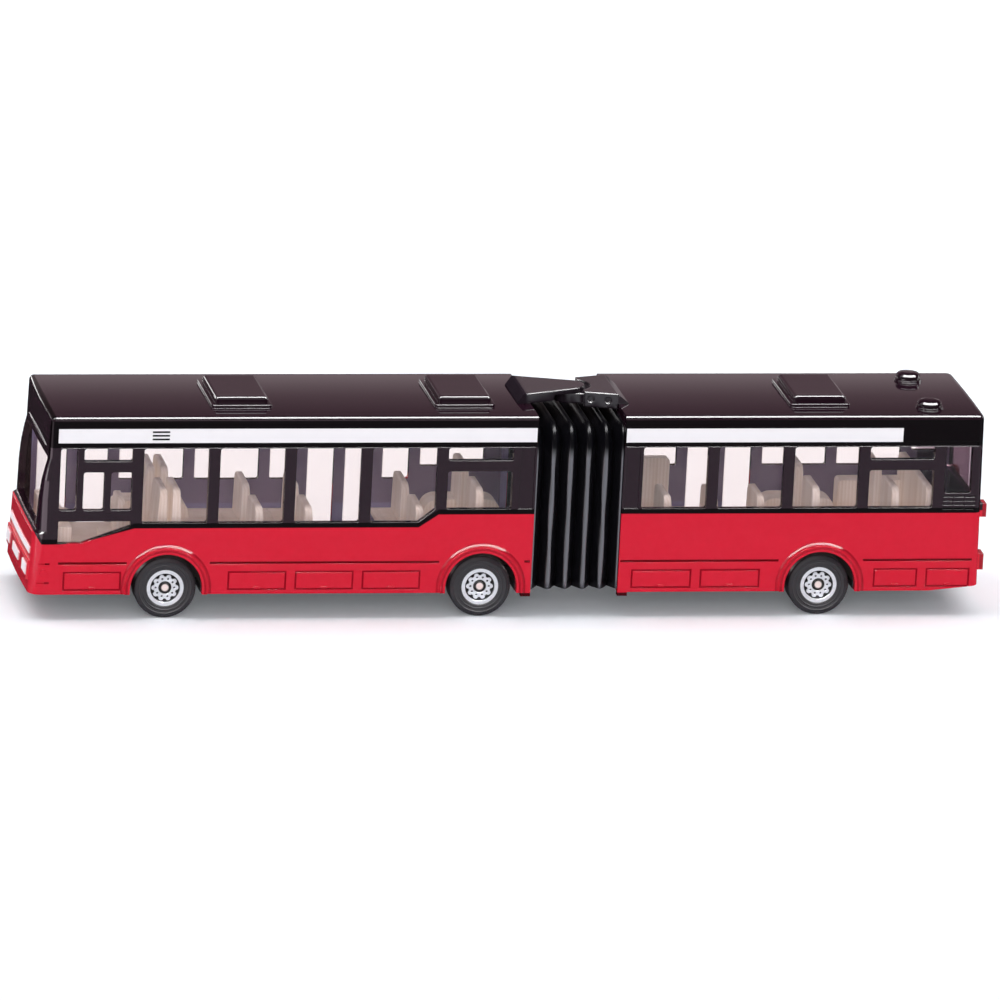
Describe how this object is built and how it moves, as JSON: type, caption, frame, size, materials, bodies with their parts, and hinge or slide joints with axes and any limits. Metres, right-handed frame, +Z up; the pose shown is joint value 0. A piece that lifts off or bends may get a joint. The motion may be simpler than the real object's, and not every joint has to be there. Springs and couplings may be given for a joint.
{
  "type": "toy articulated bus",
  "caption": "Die-cast toy articulated bus: two hollow sections with smoked windows and moulded seats, joined by a pleated bellows at a pivot, on free-rolling wheels.",
  "frame": {"origin": "halfway along the bus, on its centre line, on the surface the wheels stand on", "axes": "X along the bus, nose towards -X and tail towards +X; +Y towards the door side, -Y the driver's side; Z up"},
  "size_m": [0.169, 0.0286, 0.0381],
  "materials": {
    "red_paint": "gloss",
    "smoked_glazing": "gloss",
    "seat_plastic": "satin",
    "base_plastic": "satin",
    "bellows_plastic": "satin",
    "link_plastic": "gloss",
    "steel_pin": "satin",
    "tyre_plastic": "matte",
    "plated_rim": "gloss"
  },
  "bodies": {
    "front_section": {"front_body": "red_paint", "front_glazing": "smoked_glazing", "front_interior": "seat_plastic", "front_chassis": "base_plastic", "bellows": "bellows_plastic", "roof_link_front": "link_plastic", "axle_front": "steel_pin", "axle_middle": "steel_pin", "coupling_rivet": "steel_pin"},
    "rear_section": {"rear_body": "red_paint", "rear_glazing": "smoked_glazing", "rear_interior": "seat_plastic", "rear_chassis": "base_plastic", "roof_link_rear": "link_plastic", "axle_rear": "steel_pin"},
    "front_near_wheel": {"front_near_tyre": "tyre_plastic", "front_near_rim": "plated_rim"},
    "front_far_wheel": {"front_far_tyre": "tyre_plastic", "front_far_rim": "plated_rim"},
    "middle_near_wheel": {"middle_near_tyre": "tyre_plastic", "middle_near_rim": "plated_rim"},
    "middle_far_wheel": {"middle_far_tyre": "tyre_plastic", "middle_far_rim": "plated_rim"},
    "rear_near_wheel": {"rear_near_tyre": "tyre_plastic", "rear_near_rim": "plated_rim"},
    "rear_far_wheel": {"rear_far_tyre": "tyre_plastic", "rear_far_rim": "plated_rim"}
  },
  "joints": [
    {"name": "articulation", "type": "hinge", "parent": "front_section", "child": "rear_section", "pos_m": [0.0116, 0, 0.0362], "axis": [0, 0, 1], "range_deg": [-30, 30], "deforming": ["bellows"]},
    {"name": "front_near_wheel_spin", "type": "hinge", "parent": "front_section", "child": "front_near_wheel", "pos_m": [-0.0601, -0.0111, 0.0054], "axis": [0, 1, 0], "continuous": true},
    {"name": "front_far_wheel_spin", "type": "hinge", "parent": "front_section", "child": "front_far_wheel", "pos_m": [-0.0601, 0.0111, 0.0054], "axis": [0, 1, 0], "continuous": true},
    {"name": "middle_near_wheel_spin", "type": "hinge", "parent": "front_section", "child": "middle_near_wheel", "pos_m": [-0.0049, -0.0111, 0.0054], "axis": [0, 1, 0], "continuous": true},
    {"name": "middle_far_wheel_spin", "type": "hinge", "parent": "front_section", "child": "middle_far_wheel", "pos_m": [-0.0049, 0.0111, 0.0054], "axis": [0, 1, 0], "continuous": true},
    {"name": "rear_near_wheel_spin", "type": "hinge", "parent": "rear_section", "child": "rear_near_wheel", "pos_m": [0.0551, -0.0111, 0.0054], "axis": [0, 1, 0], "continuous": true},
    {"name": "rear_far_wheel_spin", "type": "hinge", "parent": "rear_section", "child": "rear_far_wheel", "pos_m": [0.0551, 0.0111, 0.0054], "axis": [0, 1, 0], "continuous": true}
  ]
}
